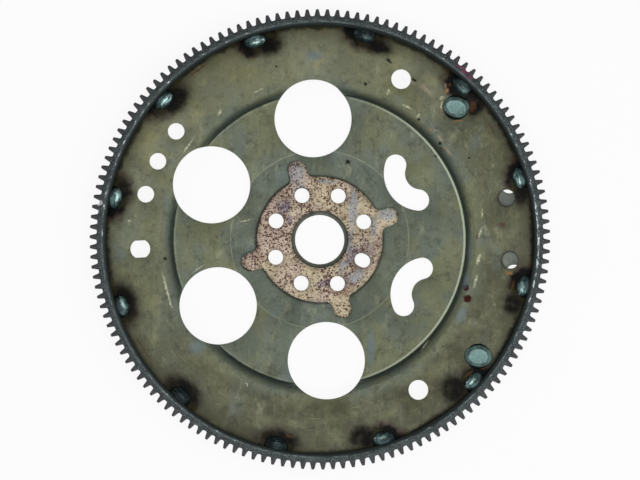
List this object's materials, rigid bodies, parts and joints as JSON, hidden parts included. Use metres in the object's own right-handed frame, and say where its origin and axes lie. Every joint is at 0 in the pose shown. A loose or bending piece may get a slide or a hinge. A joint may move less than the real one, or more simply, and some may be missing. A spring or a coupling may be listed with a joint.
{
  "type": "flexplate",
  "caption": "Pressed steel engine flexplate with a welded starter ring gear, hub plate, lightening holes and a balance weight; joins crankshaft to torque converter.",
  "frame": {"origin": "centre of the crank bore, on the face that meets the crankshaft flange", "axes": "+Z along the crank axis towards the torque converter, +X midway between two crank bolt holes, towards the balance weight"},
  "size_m": [0.3048, 0.3048, 0.0155],
  "materials": {
    "disc_steel": "pressed sheet with a dull olive-grey scale, heat stains and rust specks",
    "ring_steel": "dark hardened steel, scuffed on its inner edge",
    "hub_steel": "tan plate with dark rust speckle",
    "weight_steel": "plain grey sheet steel",
    "weld_steel": "blued weld metal with glossy beads",
    "plug_weld_steel": "blued weld metal in a scorched rim"
  },
  "bodies": {
    "root": {"disc": "disc_steel", "ring_gear": "ring_steel", "hub_plate": "hub_steel", "balance_weight": "weight_steel", "plug_weld_upper": "plug_weld_steel", "plug_weld_lower": "plug_weld_steel", "ring_weld_01": "weld_steel", "ring_weld_02": "weld_steel", "ring_weld_03": "weld_steel", "ring_weld_04": "weld_steel", "ring_weld_05": "weld_steel", "ring_weld_06": "weld_steel", "ring_weld_07": "weld_steel", "ring_weld_08": "weld_steel", "ring_weld_09": "weld_steel", "ring_weld_10": "weld_steel", "ring_weld_11": "weld_steel", "ring_weld_12": "weld_steel"}
  },
  "joints": []
}
